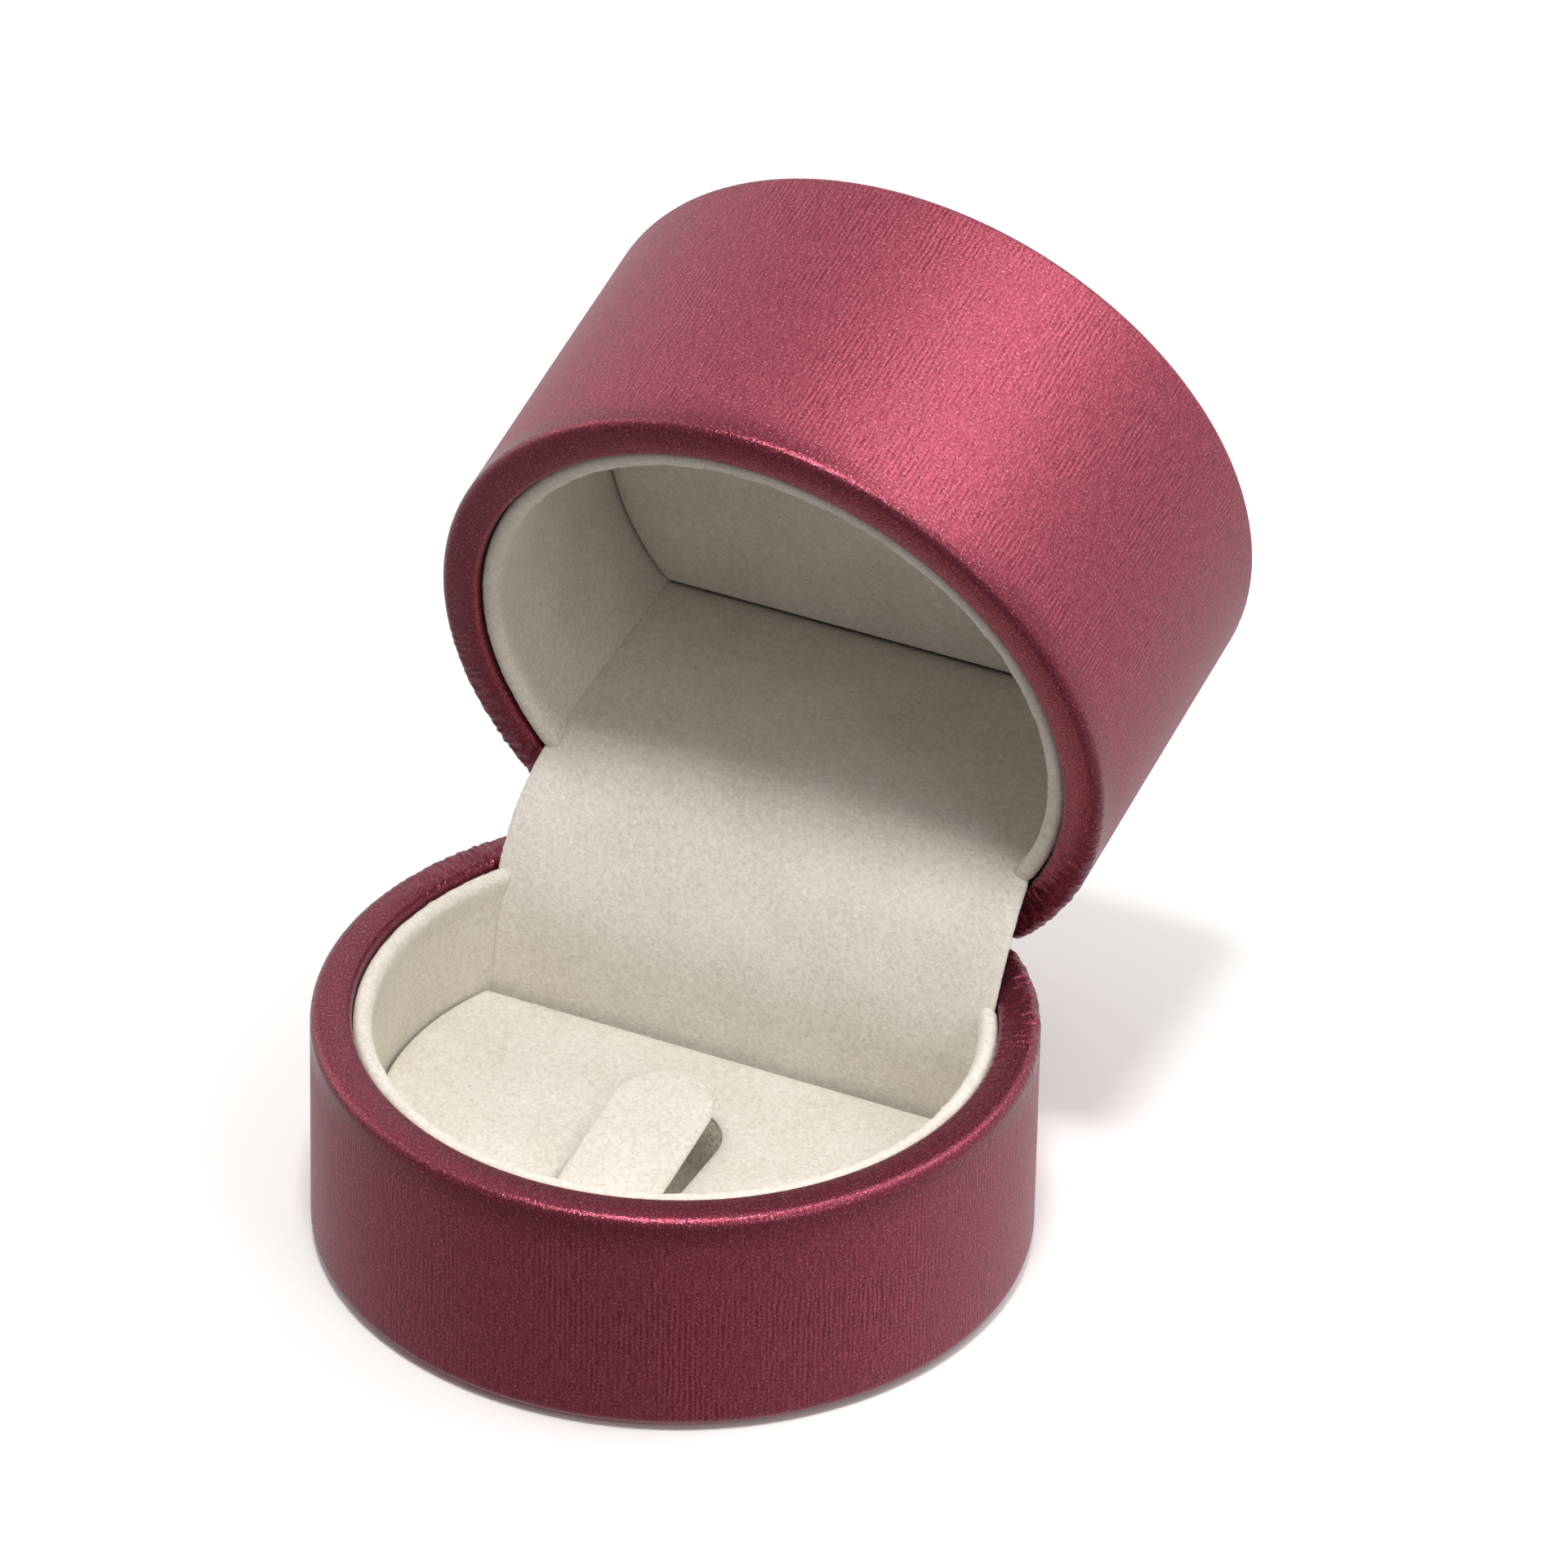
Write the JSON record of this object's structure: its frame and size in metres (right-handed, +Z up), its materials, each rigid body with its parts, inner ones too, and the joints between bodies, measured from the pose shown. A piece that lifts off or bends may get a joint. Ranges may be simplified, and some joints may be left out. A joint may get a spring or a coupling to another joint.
{
  "type": "jewelry gift box",
  "caption": "Small hinged ring box with a round front and flat back, wine leatherette outside, cream velvet inside, with a ring tongue in its pad; stands open.",
  "frame": {"origin": "centre of the round front's circle, on the flat resting face of the base", "axes": "+Z up, +Y towards the flat back and its hinge, -Y towards the round front, X along the hinge"},
  "size_m": [0.054, 0.074, 0.0704],
  "materials": {
    "leatherette": "wine-red brushed-metallic leatherette",
    "velvet": "cream flocked velvet with a soft nap",
    "shell_plastic": "moulded grey polystyrene, matt",
    "card": "grey-brown pressed card",
    "foam": "off-white polyurethane foam",
    "steel": "stamped steel with a bright zinc finish",
    "foot_felt": "thin dark felt paper"
  },
  "bodies": {
    "base": {"base_foot_panel": "foot_felt", "base_shell": "shell_plastic", "base_wrap": "leatherette", "base_liner": "velvet", "base_back_card": "card", "ring_pad_board": "card", "ring_pad_foam": "foam", "ring_pad_cover": "velvet", "hinge_band": "velvet", "hinge_leaf_base": "steel", "hinge_pin": "steel", "base_hinge_rivets": "steel", "snap_spring": "steel", "back_strip": "leatherette"},
    "lid": {"hinge_leaf_lid": "steel", "lid_hinge_rivets": "steel", "lid_shell": "shell_plastic", "lid_wrap": "leatherette", "lid_liner": "velvet", "lid_back_card": "card", "lid_ceiling_cover": "velvet", "lid_ceiling_board": "card", "lid_ceiling_foam": "foam", "lid_top_board": "card", "lid_top_foam": "foam", "lid_top_cover": "leatherette"},
    "ring_tongue": {"ring_tongue": "velvet"}
  },
  "joints": [
    {"name": "lid_hinge", "type": "hinge", "parent": "base", "child": "lid", "pos_m": [0, 0.0192, 0.01885], "axis": [-1, 0, 0], "range_deg": [-76, 0], "deforming": ["hinge_band", "snap_spring", "back_strip"]},
    {"name": "tongue_fold", "type": "hinge", "parent": "base", "child": "ring_tongue", "pos_m": [0, -0.0145, 0.0087], "axis": [1, 0, 0], "range_deg": [-11.5, 45], "stiffness_Nm_per_rad": 0.0002}
  ]
}
